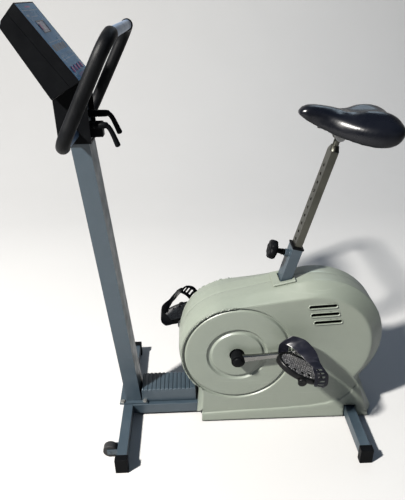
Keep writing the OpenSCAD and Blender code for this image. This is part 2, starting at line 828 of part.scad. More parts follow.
base_beam();
stabilizer(front_x);  // front_stabilizer
stabilizer(rear_x);  // rear_stabilizer
end_caps(front_x);  // front_caps
end_caps(rear_x);  // rear_caps
wheel_brackets();
transport_wheel(-1);  // transport_wheel_left
transport_wheel(1);  // transport_wheel_right
mast();
mast_bolts();
clamp_bracket();
neck_cover();
console_back();
console_front();
faceplate();
display_window();
key(0);  // key_1
key(1);  // key_2
key(2);  // key_3
key(3);  // key_4
handlebar();
foam(-1);  // foam_left
foam(1);  // foam_right
clamp_lever(-1);  // clamp_lever_left
clamp_lever(1);  // clamp_lever_right
step_cover();
shroud_half_shell(-1);  // shroud_left
shroud_half_shell(1);  // shroud_right
shroud_screws();
seat_collar();
seat_tube();
seat_bush();
seat_knob();
seat_post();
post_cap();
saddle_clamp();
saddle_base();
saddle_cushion();
bracket_shell();
crank_bearings();
crank_spindle();
crank(-1);  // crank_left
crank(1);  // crank_right
crank_covers();
drive_pulley();
drive_belt();
pedal_spindles();
pedal(-1);  // pedal_left
pedal(1);  // pedal_right
strap(-1);  // strap_left
strap(1);  // strap_right
flywheel();
flywheel_axle();
flywheel_brackets();
magnet_bracket();
magnet_post();
resistance_motor();
idler_arm();
idler_pulley();
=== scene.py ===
"""Looks of the exercise bike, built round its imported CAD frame.

Row frame in metres: +X to the rear, +Y to the rider's right, +Z up, floor at Z = 0.
Most shapes below are written in millimetres; MM turns them into metres.
"""
from math import atan2, copysign, cos, exp, hypot, pi, radians, sin, tan

import bmesh
import bpy
from mathutils import Matrix, Vector, noise


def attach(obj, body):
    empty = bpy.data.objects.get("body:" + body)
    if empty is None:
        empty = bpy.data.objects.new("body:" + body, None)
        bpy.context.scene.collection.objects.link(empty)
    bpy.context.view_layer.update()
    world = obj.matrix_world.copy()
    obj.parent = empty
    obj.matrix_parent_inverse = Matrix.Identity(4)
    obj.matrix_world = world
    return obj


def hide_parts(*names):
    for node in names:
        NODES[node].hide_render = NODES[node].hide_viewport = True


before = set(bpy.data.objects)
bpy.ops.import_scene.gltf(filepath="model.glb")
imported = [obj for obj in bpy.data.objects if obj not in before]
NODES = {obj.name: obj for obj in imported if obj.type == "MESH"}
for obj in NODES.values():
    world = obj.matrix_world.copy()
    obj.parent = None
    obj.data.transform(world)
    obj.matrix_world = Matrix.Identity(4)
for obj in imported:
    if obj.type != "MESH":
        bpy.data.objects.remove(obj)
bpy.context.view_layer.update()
MM = 0.001
SIDES = ((-1, "left"), (1, "right"))     # sign of Y, and the name of the rider's side

CRANK_X, CRANK_Z = 40.5, 260.0           # crank axis in the row frame, mm
CRANK_LENGTH = 170
MAST_FOOT_X = CRANK_X - 331              # where the mast's axis meets the floor
MAST_SLOPE = tan(radians(4.5))

# ---- camera and light ----

CAMERA_PLACE = (-0.084, -1.3011, 1.2361)
CAMERA_YAW, CAMERA_PITCH, CAMERA_ROLL = 1.28, 26.92, -1.30     # degrees
CAMERA_LENS, CAMERA_SENSOR = 36.46, 36.0
WORLD_STRENGTH = 0.20
WORLD_STOPS = ((0.0, (0.30, 0.29, 0.27, 1)), (0.48, (0.40, 0.40, 0.40, 1)),
               (0.54, (0.62, 0.70, 0.80, 1)), (1.0, (0.36, 0.55, 0.90, 1)))


def new_object(name, data):
    thing = bpy.data.objects.new(name, data)
    bpy.context.scene.collection.objects.link(thing)
    return thing


def place_camera():
    """The photograph's viewpoint: on the bike's left, just ahead of the cranks, looking down."""
    yaw, pitch, roll = (radians(a) for a in (CAMERA_YAW, CAMERA_PITCH, CAMERA_ROLL))
    ahead = Vector((sin(yaw) * cos(pitch), cos(yaw) * cos(pitch),
                    -sin(pitch)))
    level = Vector((cos(yaw), -sin(yaw), 0))
    above = level.cross(ahead)
    right = cos(roll) * level + sin(roll) * above
    up = -sin(roll) * level + cos(roll) * above
    data = bpy.data.cameras.new("camera")
    data.lens, data.sensor_width = CAMERA_LENS, CAMERA_SENSOR
    data.clip_end = 50
    camera = new_object("camera", data)
    turn = Matrix((right, up, -ahead)).transposed().to_4x4()
    camera.matrix_world = Matrix.Translation(CAMERA_PLACE) @ turn
    bpy.context.scene.camera = camera


def area_light(name, place, target, size, power, colour):
    data = bpy.data.lights.new(name, "AREA")
    data.shape, data.size, data.energy, data.color = "DISK", size, power, colour
    lamp = new_object(name, data)
    lamp.location = place
    lamp.rotation_euler = (Vector(target) - Vector(place)).to_track_quat("-Z", "Y").to_euler()


def place_lights():
    """A hard warm key from the front left, a weak fill and back light, and a graded world."""
    area_light("sun", (-2.95, -2.15, 4.0), (0, 0, 0.4), 0.34, 720, (1.0, 0.965, 0.91))
    area_light("fill", (2.4, -3.0, 1.6), (0, 0, 0.5), 2.5, 3, (0.80, 0.90, 1.0))
    area_light("back", (1.5, 2.4, 3.6), (0, 0, 0.6), 1.6, 18, (0.70, 0.86, 1.0))
    bpy.context.scene.view_settings.view_transform = "Standard"
    bpy.context.scene.view_settings.look = "Medium High Contrast"
    world = bpy.data.worlds.new("studio")
    world.use_nodes = True
    nodes, links = world.node_tree.nodes, world.node_tree.links
    back = nodes["Background"]
    back.inputs["Strength"].default_value = WORLD_STRENGTH
    place = nodes.new("ShaderNodeTexCoord")
    split = nodes.new("ShaderNodeSeparateXYZ")
    ramp = nodes.new("ShaderNodeValToRGB")
    while len(ramp.color_ramp.elements) < len(WORLD_STOPS):
        ramp.color_ramp.elements.new(0.5)
    for element, (at, colour) in zip(ramp.color_ramp.elements, WORLD_STOPS):
        element.position, element.color = at, colour
    shift = nodes.new("ShaderNodeMapRange")
    shift.inputs["From Min"].default_value = -1.0
    links.new(place.outputs["Generated"], split.inputs[0])
    links.new(split.outputs["Z"], shift.inputs["Value"])
    links.new(shift.outputs["Result"], ramp.inputs["Fac"])
    links.new(ramp.outputs["Color"], back.inputs["Color"])
    bpy.context.scene.world = world


# ---- materials ----

class Shader:
    """A small node-tree builder round one Principled shader."""

    def __init__(self, name, colour, rough, metallic=0.0, **sockets):
        self.mat = bpy.data.materials.new(name)
        self.mat.use_nodes = True
        self.tree = self.mat.node_tree
        self.out = self.tree.nodes["Principled BSDF"]
        self.out.inputs["Base Color"].default_value = (*colour, 1)
        self.out.inputs["Roughness"].default_value = rough
        self.out.inputs["Metallic"].default_value = metallic
        for socket, value in sockets.items():
            self.out.inputs[socket.replace("_", " ")].default_value = value
        self.colour = (*colour, 1)
        self.place = self.add("ShaderNodeTexCoord").outputs["Object"]
        self.height = None

    def add(self, kind, **inputs):
        node = self.tree.nodes.new(kind)
        for socket, value in inputs.items():
            node.inputs[socket].default_value = value
        return node

    def join(self, a, b):
        self.tree.links.new(a, b)

    def stretched(self, x, y, z, tilt=0.0):
        node = self.add("ShaderNodeMapping", Scale=(x, y, z), Rotation=(0, tilt, 0))
        self.join(self.place, node.inputs["Vector"])
        return node.outputs["Vector"]

    def noise(self, scale, detail=3.0, rough=0.55, place=None):
        node = self.add("ShaderNodeTexNoise", Scale=scale, Detail=detail, Roughness=rough)
        self.join(place or self.place, node.inputs["Vector"])
        return node.outputs["Fac"]

    def cells(self, scale, feature="F1"):
        node = self.add("ShaderNodeTexVoronoi", Scale=scale)
        node.feature = feature
        self.join(self.place, node.inputs["Vector"])
        return node.outputs["Distance"]

    def span(self, value, low, high, to_low=0.0, to_high=1.0):
        node = self.add("ShaderNodeMapRange")
        for socket, v in (("From Min", low), ("From Max", high),
                          ("To Min", to_low), ("To Max", to_high)):
            node.inputs[socket].default_value = v
        self.join(value, node.inputs["Value"])
        return node.outputs["Result"]

    def math(self, operation, a, b):
        node = self.add("ShaderNodeMath")
        node.operation = operation
        for socket, v in zip(node.inputs, (a, b)):
            if isinstance(v, (int, float)):
                socket.default_value = v
            else:
                self.join(v, socket)
        return node.outputs[0]

    def tint(self, factor, colour):
        """Mixes a colour over what the shader has so far, where factor is 1."""
        node = self.add("ShaderNodeMix")
        node.data_type = "RGBA"
        base = self.out.inputs["Base Color"]
        if base.links:
            self.join(base.links[0].from_socket, node.inputs["A"])
        else:
            node.inputs["A"].default_value = self.colour
        node.inputs["B"].default_value = (*colour, 1)
        self.join(factor, node.inputs["Factor"])
        self.join(node.outputs["Result"], base)

    def cloud(self, grain, low, high, amount, colour):
        """Tints where a noise, given by its scale, detail and roughness, is high."""
        self.tint(self.span(self.noise(*grain), low, high, 0.0, amount), colour)

    def roughen(self, factor, low, high):
        self.join(self.span(factor, 0.25, 0.75, low, high), self.out.inputs["Roughness"])

    def bump(self, height, distance, strength=1.0):
        node = self.add("ShaderNodeBump", Distance=distance, Strength=strength)
        self.join(height, node.inputs["Height"])
        if self.height is not None:
            self.join(self.height, node.inputs["Normal"])
        self.height = node.outputs["Normal"]
        self.join(self.height, self.out.inputs["Normal"])


def scaled(colour, k):
    return tuple(min(1.0, c * k) for c in colour)


def moulded(name, colour, rough, grain=900.0, depth=0.00012, vary=0.12, dust=0.10,
            dust_colour=(0.45, 0.43, 0.38), shine=0.5):
    """Moulded plastic or rubber: cloudy colour, fine grain, patchy dust."""
    s = Shader(name, colour, rough, Specular_IOR_Level=shine)
    s.cloud((7.0, 4.0), 0.35, 0.65, 1.0, scaled(colour, 1 - vary))
    s.cloud((38.0, 5.0, 0.65), 0.52, 0.75, 0.55, scaled(colour, 1 + 1.5 * vary))
    s.cloud((19.0, 8.0, 0.7), 0.55, 0.80, dust, dust_colour)
    s.roughen(s.noise(30.0, 5.0), rough - 0.07, rough + 0.12)
    s.bump(s.noise(grain, 2.0), depth)
    return s


def painted(name, colour):
    """Satin enamel over steel tube: orange peel, faint scuffs along X and a few chips."""
    s = Shader(name, colour, 0.34, 0.15, Specular_IOR_Level=1.0)
    s.cloud((5.0, 4.0), 0.3, 0.7, 1.0, scaled(colour, 0.86))
    s.cloud((60.0, 6.0, 0.7), 0.50, 0.8, 0.35, scaled(colour, 1.35))
    scuff = s.noise(1.0, 4.0, 0.7, s.stretched(6, 60, 240))
    s.tint(s.span(scuff, 0.62, 0.72, 0.0, 0.28), scaled(colour, 1.7))
    s.tint(s.span(s.cells(42.0), 0.0, 0.035, 0.9, 0.0), (0.09, 0.07, 0.055))
    s.roughen(s.noise(24.0, 5.0), 0.30, 0.52)
    s.bump(s.noise(420.0, 2.0), 0.00010)
    s.bump(s.noise(90.0, 3.0), 0.00012, 0.5)
    return s


def plated(name, colour, rough, pits=0.6):
    """Chrome or zinc plate with drawn streaks and pitted spots."""
    s = Shader(name, colour, rough, 1.0)
    s.cloud((9.0, 5.0), 0.35, 0.7, 1.0, scaled(colour, 0.72))
    spots = s.math("MULTIPLY", s.span(s.noise(260.0, 4.0, 0.7), 0.58, 0.70),
                   s.span(s.noise(14.0), 0.42, 0.62))
    s.tint(s.math("MULTIPLY", spots, pits), (0.13, 0.10, 0.075))
    s.roughen(s.noise(34.0, 6.0, 0.6), rough, rough + 0.20)
    s.bump(s.noise(1.0, 3.0, 0.6, s.stretched(500, 500, 18)), 0.00004)
    s.bump(spots, 0.00008)
    return s


# colour of each enamel, then (colour, roughness, pits or dust) of each plain plate and plastic
PAINTS = {"frame_paint": (0.036, 0.054, 0.070), "bar_paint": (0.095, 0.150, 0.235)}
PLATES = {"chrome": ((0.30, 0.30, 0.29), 0.12, 0.6),
          "post_chrome": ((0.155, 0.155, 0.135), 0.26, 0.6),
          "steel": ((0.42, 0.42, 0.42), 0.32, 0.8), "zinc": ((0.50, 0.50, 0.48), 0.36, 0.8),
          "flywheel_iron": ((0.20, 0.20, 0.205), 0.42, 0.8)}
PLASTICS = {"wheel_plastic": ((0.018, 0.018, 0.019), 0.5, 0.10),
            "pulley_plastic": ((0.03, 0.03, 0.032), 0.45, 0.10),
            "belt_rubber": ((0.012, 0.012, 0.012), 0.6, 0.10),
            "key_plastic": ((0.43, 0.17, 0.32), 0.4, 0.05),
            "print_pale": ((0.20, 0.29, 0.37), 0.35, 0.05),
            "print_dark": ((0.020, 0.045, 0.080), 0.30, 0.05),
            "print_pink": ((0.36, 0.10, 0.24), 0.35, 0.05)}


def make_materials():
    m = {name: painted(name, colour) for name, colour in PAINTS.items()}
    m.update((name, plated(name, *look)) for name, look in PLATES.items())
    for name, (colour, rough, dust) in PLASTICS.items():
        m[name] = moulded(name, colour, rough, dust=dust)
    shroud = (0.160, 0.182, 0.158)
    s = Shader("shroud", shroud, 0.40, Specular_IOR_Level=0.9)
    s.cloud((2.4, 3.0), 0.3, 0.7, 0.8, (0.172, 0.190, 0.158))
    s.cloud((11.0, 6.0, 0.7), 0.5, 0.8, 0.35, scaled(shroud, 0.86))
    rub = s.noise(1.0, 5.0, 0.7, s.stretched(4, 9, 70, 0.5))
    s.tint(s.span(rub, 0.60, 0.78, 0.0, 0.30), (0.28, 0.31, 0.27))
    s.tint(s.span(s.cells(55.0), 0.0, 0.05, 0.55, 0.0), (0.08, 0.08, 0.06))
    s.cloud((420.0, 2.0), 0.66, 0.78, 0.35, (0.12, 0.125, 0.10))
    s.roughen(s.noise(16.0, 6.0, 0.6), 0.33, 0.52)
    s.bump(s.noise(1300.0, 2.0), 0.00008)
    s.bump(s.noise(28.0, 2.0), 0.00035, 0.5)
    m["shroud_plastic"] = s
    s = moulded("black_plastic", (0.0055, 0.0060, 0.0070), 0.40, 1500.0, 0.00020, 0.25, 0.04,
                (0.04, 0.04, 0.038), 0.07)
    s.bump(s.cells(700.0), 0.00010)
    m["black_plastic"] = s
    s = Shader("foam", (0.0038, 0.0042, 0.0052), 0.40, Specular_IOR_Level=0.16)
    s.cloud((16.0, 5.0), 0.4, 0.72, 0.8, (0.0075, 0.0080, 0.0095))
    s.cloud((130.0, 5.0, 0.7), 0.55, 0.8, 0.5, (0.020, 0.021, 0.023))
    s.roughen(s.noise(45.0, 5.0), 0.36, 0.60)
    s.bump(s.noise(650.0, 3.0, 0.7), 0.00035)
    s.bump(s.noise(60.0, 3.0), 0.0007, 0.5)
    m["foam"] = s
    s = Shader("vinyl", (0.0030, 0.0036, 0.0062), 0.27, Specular_IOR_Level=0.42)
    s.cloud((12.0, 5.0), 0.4, 0.75, 0.8, (0.0070, 0.0078, 0.0110))
    s.cloud((60.0, 8.0, 0.75), 0.60, 0.8, 0.12, (0.06, 0.06, 0.06))
    s.roughen(s.noise(22.0, 6.0, 0.6), 0.22, 0.36)
    s.bump(s.cells(620.0, "DISTANCE_TO_EDGE"), 0.00010, 0.6)
    s.bump(s.noise(26.0, 3.0), 0.0006, 0.35)
    m["vinyl"] = s
    s = moulded("tread", (0.050, 0.050, 0.053), 0.55, 700.0, 0.0003, 0.2, 0.5,
                (0.26, 0.255, 0.25))
    s.cloud((420.0, 4.0, 0.7), 0.50, 0.62, 0.8, (0.36, 0.355, 0.36))
    m["tread_worn"] = s
    m["tread"] = moulded("pedal_body", (0.0060, 0.0062, 0.0070), 0.36, 900.0, 0.00015, 0.2, 0.05,
                         shine=0.25)
    s = moulded("strap_rubber", (0.0085, 0.0090, 0.0145), 0.34, 1100.0, 0.0001, 0.25, 0.05,
                shine=0.30)
    streak = s.noise(1.0, 4.0, 0.6, s.stretched(14, 90, 30, 0.7))
    s.tint(s.span(streak, 0.56, 0.72, 0.0, 0.45), (0.045, 0.046, 0.060))
    m["strap_rubber"] = s
    plate = (0.055, 0.225, 0.390)
    s = Shader("faceplate", plate, 0.30, Specular_IOR_Level=0.15)
    s.cloud((9.0, 4.0), 0.35, 0.7, 0.8, (0.035, 0.145, 0.260))
    s.cloud((70.0, 6.0, 0.7), 0.56, 0.8, 0.4, (0.12, 0.28, 0.42))
    s.roughen(s.noise(40.0, 5.0), 0.22, 0.40)
    s.bump(s.noise(900.0, 2.0), 0.00005)
    m["faceplate_print"] = s
    s = Shader("display", (0.115, 0.125, 0.200), 0.12)
    s.cloud((24.0, 4.0), 0.4, 0.7, 0.7, (0.080, 0.085, 0.135))
    s.roughen(s.noise(50.0, 5.0), 0.10, 0.26)
    m["display"] = s
    # black for discs of painted shade: the dark insides of the pedals' drainage holes
    m["drain"] = moulded("drain", (0.004, 0.004, 0.004), 0.7, dust=0.0, shine=0.05)
    s = Shader("floor", (0.41, 0.41, 0.41), 0.9)
    s.cloud((1.3, 5.0), 0.3, 0.7, 1.0, (0.40, 0.40, 0.40))
    s.bump(s.noise(90.0, 3.0), 0.0004, 0.3)
    m["floor"] = s
    return {k: v.mat for k, v in m.items()}


MATERIAL = make_materials()

# ---- mesh helpers ----


def new_mesh(name, verts, faces, weld=True):
    """A mesh from corners in millimetres, with its faces turned outwards."""
    mesh = bpy.data.meshes.new(name)
    mesh.from_pydata([(x * MM, y * MM, z * MM) for x, y, z in verts], [], faces)
    fix = bmesh.new()
    fix.from_mesh(mesh)
    if weld:
        bmesh.ops.remove_doubles(fix, verts=fix.verts, dist=0.00002)
    bmesh.ops.recalc_face_normals(fix, faces=fix.faces)
    fix.to_mesh(mesh)
    fix.free()
    return mesh


def piece(name, verts, faces, material, body, replaces=(), slot=None, smooth=True):
    """A piece from corners in millimetres, on a CAD body. Its slot argument is not used."""
    mesh = new_mesh(name, verts, faces)
    for polygon in mesh.polygons:
        polygon.use_smooth = smooth
    mesh.materials.append(MATERIAL[material])
    thing = new_object(name, mesh)
    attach(thing, body)
    if replaces:
        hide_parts(*replaces)
    return thing


def modifier(thing, kind, **values):
    added = thing.modifiers.new(kind.lower(), kind)
    for key, value in values.items():
        setattr(added, key, value)
    return added


def bevel(thing, width, segments, angle, **values):
    modifier(thing, "BEVEL", width=width * MM, segments=segments, limit_method="ANGLE",
             angle_limit=radians(angle), **values)


def bake(thing):
    """Turns a piece's modifiers into its mesh."""
    bpy.context.view_layer.update()
    graph = bpy.context.evaluated_depsgraph_get()
    mesh = bpy.data.meshes.new_from_object(thing.evaluated_get(graph))
    old = thing.data
    thing.modifiers.clear()
    thing.data = mesh
    bpy.data.meshes.remove(old)
    for polygon in mesh.polygons:
        polygon.use_smooth = True


def quad(i, k, j, n):
    """The face between columns j and j + 1 of rows i and k, in a grid n points wide."""
    return i * n + j, i * n + j + 1, k * n + j + 1, k * n + j


def rings(loops, closed_end=(True, True), wrap=False):
    """Joins equal loops of points into a tube; the ends are closed with a fan."""
    verts = [p for loop in loops for p in loop]
    n = len(loops[0])
    faces = []
    count = len(loops)
    for i in range(count if wrap else count - 1):
        a, b = i * n, ((i + 1) % count) * n
        faces += [(a + j, a + (j + 1) % n, b + (j + 1) % n, b + j) for j in range(n)]
    if not wrap:
        for end, shut in zip((0, count - 1), closed_end):
            if shut:
                centre = tuple(sum(c) / n for c in zip(*loops[end]))
                verts.append(centre)
                hub = len(verts) - 1
                faces += [(end * n + j, end * n + (j + 1) % n, hub) for j in range(n)]
    return verts, faces


def sweep(path, radii, sides=24, wrap=False, rounded=True):
    """A round tube along a path. Its ends are domed unless it wraps round or isn't rounded."""
    pts = [Vector(p) for p in path]
    radii = [radii] * len(pts) if isinstance(radii, (int, float)) else list(radii)
    if rounded and not wrap:
        for end, inner in ((0, 1), (-1, -2)):
            out = (pts[end] - pts[inner]).normalized()
            r, base = radii[end], pts[end].copy()
            dome = [(base + out * r * 0.55 * sin(a), r * cos(a)) for a in (0.5, 1.0, 1.35)]
            for p, q in dome:
                if end == 0:
                    pts.insert(0, p)
                    radii.insert(0, q)
                else:
                    pts.append(p)
                    radii.append(q)
    count = len(pts)
    side = None
    loops = []
    for i, p in enumerate(pts):
        a = pts[(i - 1) % count] if wrap or i else p
        b = pts[(i + 1) % count] if wrap or i < count - 1 else p
        along = (b - a).normalized()
        if side is None:
            side = along.orthogonal().normalized()
        side = (side - along * side.dot(along)).normalized()
        other = along.cross(side)
        loops.append([tuple(p + radii[i] * (cos(t) * side + sin(t) * other))
                      for t in (2 * pi * j / sides for j in range(sides))])
    return rings(loops, wrap=wrap)


def at(x, y, z):
    return Matrix.Translation((x, y, z))


def spun(degrees, axis):
    return Matrix.Rotation(radians(degrees), 4, axis)


def merge(*parts):
    """Several (verts, faces) pairs as one."""
    verts, faces = [], []
    for v, f in parts:
        base = len(verts)
        verts += v
        faces += [tuple(i + base for i in face) for face in f]
    return verts, faces


def moved(part, turn):
    """A (verts, faces) pair turned and shifted by a 4x4 matrix in millimetres."""
    return [tuple(turn @ Vector(p)) for p in part[0]], part[1]


def lathe(profile, axis_to, lobes=0, depth=0.0, sides=48):
    """A turned solid: profile is (distance along the axis, radius, share of the lobes)."""
    loops = []
    for along, r, share in profile:
        loop = []
        for j in range(sides):
            t = 2 * pi * j / sides
            q = r + share * depth * cos(lobes * t)
            loop.append((along, q * cos(t), q * sin(t)))
        loops.append(loop)
    return moved(rings(loops), axis_to)


def smooth_path(knots, steps=8):
    """A Catmull-Rom curve through the knots."""
    pts = [Vector(k) for k in knots]
    ends = [2 * pts[0] - pts[1]] + pts + [2 * pts[-1] - pts[-2]]
    out = []
    for i in range(1, len(ends) - 2):
        a, b, c, d = ends[i - 1:i + 3]
        for s in range(steps):
            t = s / steps
            out.append(0.5 * (2 * b + (c - a) * t + (2 * a - 5 * b + 4 * c - d) * t * t
                              + (3 * b - a - 3 * c + d) * t ** 3))
    out.append(pts[-1])
    return out


def interpolate(table, x):
    """Piecewise-linear value at x of a table of (x, value)."""
    if x <= table[0][0]:
        return table[0][1]
    for (x0, v0), (x1, v1) in zip(table, table[1:]):
        if x <= x1:
            return v0 + (v1 - v0) * (x - x0) / (x1 - x0)
    return table[-1][1]


def eased(table, x):
    """Smooth (Catmull-Rom) value at x of a table of (x, value)."""
    xs = [t[0] for t in table]
    x = min(max(x, xs[0]), xs[-1])
    i = max(k for k in range(len(xs) - 1) if xs[k] <= x)

    def slope(k):
        a, b = max(k - 1, 0), min(k + 1, len(xs) - 1)
        return (table[b][1] - table[a][1]) / (xs[b] - xs[a])

    h = xs[i + 1] - xs[i]
    t = (x - xs[i]) / h
    return ((2 * t ** 3 - 3 * t ** 2 + 1) * table[i][1]
            + (t ** 3 - 2 * t ** 2 + t) * h * slope(i)
            + (3 * t ** 2 - 2 * t ** 3) * table[i + 1][1]
            + (t ** 3 - t ** 2) * h * slope(i + 1))


# ---- CAD nodes kept as they are ----

def dress(names, material, soft_edge=0.0, segments=2):
    """Gives CAD nodes a material and, with modifiers only, eased edges."""
    for name in names.split():
        node = NODES[name]
        node.data.materials.clear()
        node.data.materials.append(MATERIAL[material])
        with bpy.context.temp_override(active_object=node, object=node, selected_objects=[node]):
            if node.data.has_custom_normals:
                bpy.ops.mesh.customdata_custom_splitnormals_clear()
        for polygon in node.data.polygons:
            polygon.use_smooth = True
        modifier(node, "WELD", merge_threshold=0.00001)
        if soft_edge:
            modifier(node, "DECIMATE", decimate_type="DISSOLVE", angle_limit=radians(0.5))
            bevel(node, soft_edge, segments, 32, miter_outer="MITER_ARC")
        modifier(node, "WEIGHTED_NORMAL", weight=80, keep_sharp=False)


def dress_frame():
    dress("base_beam front_stabilizer rear_stabilizer mast", "frame_paint", 1.6, 3)
    dress("seat_tube wheel_brackets", "frame_paint", 0.7)
    dress("clamp_bracket", "black_plastic", 0.7)
    dress("bracket_shell flywheel_brackets magnet_post idler_arm", "frame_paint")
    dress("handlebar", "bar_paint")
    dress("front_caps rear_caps", "black_plastic", 4.0, 4)
    dress("neck_cover", "black_plastic", 7.0, 4)
    dress("console_back", "black_plastic", 5.0, 4)
    dress("console_front", "black_plastic", 1.6, 3)
    dress("seat_bush", "black_plastic", 1.2)
    dress("saddle_base resistance_motor", "black_plastic", 1.0)
    dress("crank_covers", "black_plastic", 3.0, 4)
    dress("transport_wheel_left transport_wheel_right", "wheel_plastic", 1.5, 3)
    dress("seat_collar", "shroud_plastic", 3.5, 4)
    dress("seat_post", "post_chrome", 0.8)
    dress("post_cap", "post_chrome", 1.0)
    dress("crank_spindle pedal_spindles crank_bearings flywheel_axle magnet_bracket", "steel")
    dress("saddle_clamp", "steel", 0.8)
    dress("mast_bolts shroud_screws", "zinc", 0.5)
    dress("faceplate", "faceplate_print")
    dress("display_window", "display", 0.4)
    dress("key_1 key_2 key_3 key_4", "key_plastic", 0.5)
    dress("drive_pulley idler_pulley", "pulley_plastic")
    dress("drive_belt", "belt_rubber")
    dress("flywheel", "flywheel_iron", 0.8)


# ---- shroud ----

FRONT_R, REAR_R = 176.0, 213.0
REAR_C = (238.0, 276.0)                  # rear round's centre, from the crank axis along X
SIDE, BAND = 87.0, 45.0                  # half widths of the side faces and of the top band
SKIRT_Z, SKIRT_TOP, SKIRT_BAND = 6.0, 124, 64.0
DISC_R = 168                             # the grooved disc ends here and the plain side begins
FLAT_STEPS, SKIRT_STEPS, EDGE_POINTS = 26, 12, 16
CREASE = ((-140, 32), (-103, 35), (9, 40), (138, 44), (235, 50), (282, 58), (329, 73), (358, 100),
          (380, 132), (400, 150))        # height of the skirt's crease along X


def round_hull(r0, centre, r1, steps=160):
    """Outline of two discs and what lies between: one at the crank axis, one at centre."""
    cx, cz = centre[0], centre[1] - CRANK_Z
    pts = []
    for i in range(steps * 2):
        a = pi * i / steps
        d = Vector((cos(a), sin(a)))
        first, second = r0, d.dot(Vector((cx, cz))) + r1
        p = d * r0 if first >= second else Vector((cx, cz)) + d * r1
        pts.append((p.x, p.y + CRANK_Z))
    return pts


def reach(outline, angle):
    """How far a ray from the crank axis goes before it leaves a closed outline."""
    dx, dz = cos(angle), sin(angle)
    best = 0.0
    for (x0, z0), (x1, z1) in zip(outline, outline[1:] + outline[:1]):
        ex, ez = x1 - x0, z1 - z0
        den = dx * ez - dz * ex
        if abs(den) < 1e-9:
            continue
        px, pz = x0, z0 - CRANK_Z
        t = (px * ez - pz * ex) / den
        s = (px * dz - pz * dx) / den
        if t > 0 and -1e-6 <= s <= 1 + 1e-6:
            best = max(best, t)
    return best


OUTER = round_hull(FRONT_R, REAR_C, REAR_R)
FACE = round_hull(168.0, (224.0, 273.0), 182.0)
SKIRT_OUTER = [(-128, SKIRT_Z), (447, SKIRT_Z), (419, 70), (397, 126), (300, 262), (-100, 262)]
SKIRT_FACE = [(-112, SKIRT_Z), (426, SKIRT_Z), (404, 70), (386, 126), (300, 262), (-100, 262)]

# (radius, half width) of the disc from the spindle's hole out, with its two grooves
DISC = ((22.2, 80), (22.2, 85.5), (24, 87), (45, 87), (70, 87), (75, 87), (76.6, 86.5),
        (79.6, 82.3), (81.5, 81.4), (86.5, 81.4), (88.8, 82.2), (92.4, 86.5), (94, 87), (120, 87),
        (148, 87), (154, 86.9), (156.5, 86.4), (159.5, 82.0), (161, 80.8), (164, 80.8),
        (165.6, 82.2), (167.2, 86.3), (168, 87))


def flare(drop):
    """How much further out the skirt stands than the side face, at a drop below the crease."""
    table = ((-4, 0), (0, 0.6), (3, 3.6), (7, 5.0), (20, 6.4), (60, 9.0))
    return eased(table, max(-4, min(drop, 60)))


def shroud_rays():
    """Angles round the crank axis, with one ray at every corner of the outline."""
    points = SKIRT_OUTER[:4] + [(-128, 139), (-112, SKIRT_Z), (426, SKIRT_Z)]
    corners = [round(atan2(z - CRANK_Z, x), 6) for x, z in points]
    even = [round(2 * pi * i / 300 - pi, 6) for i in range(300)]
    angles = sorted(set(even + corners))
    return [a for i, a in enumerate(angles)
            if i == 0 or a - angles[i - 1] > 0.004 or a in corners]


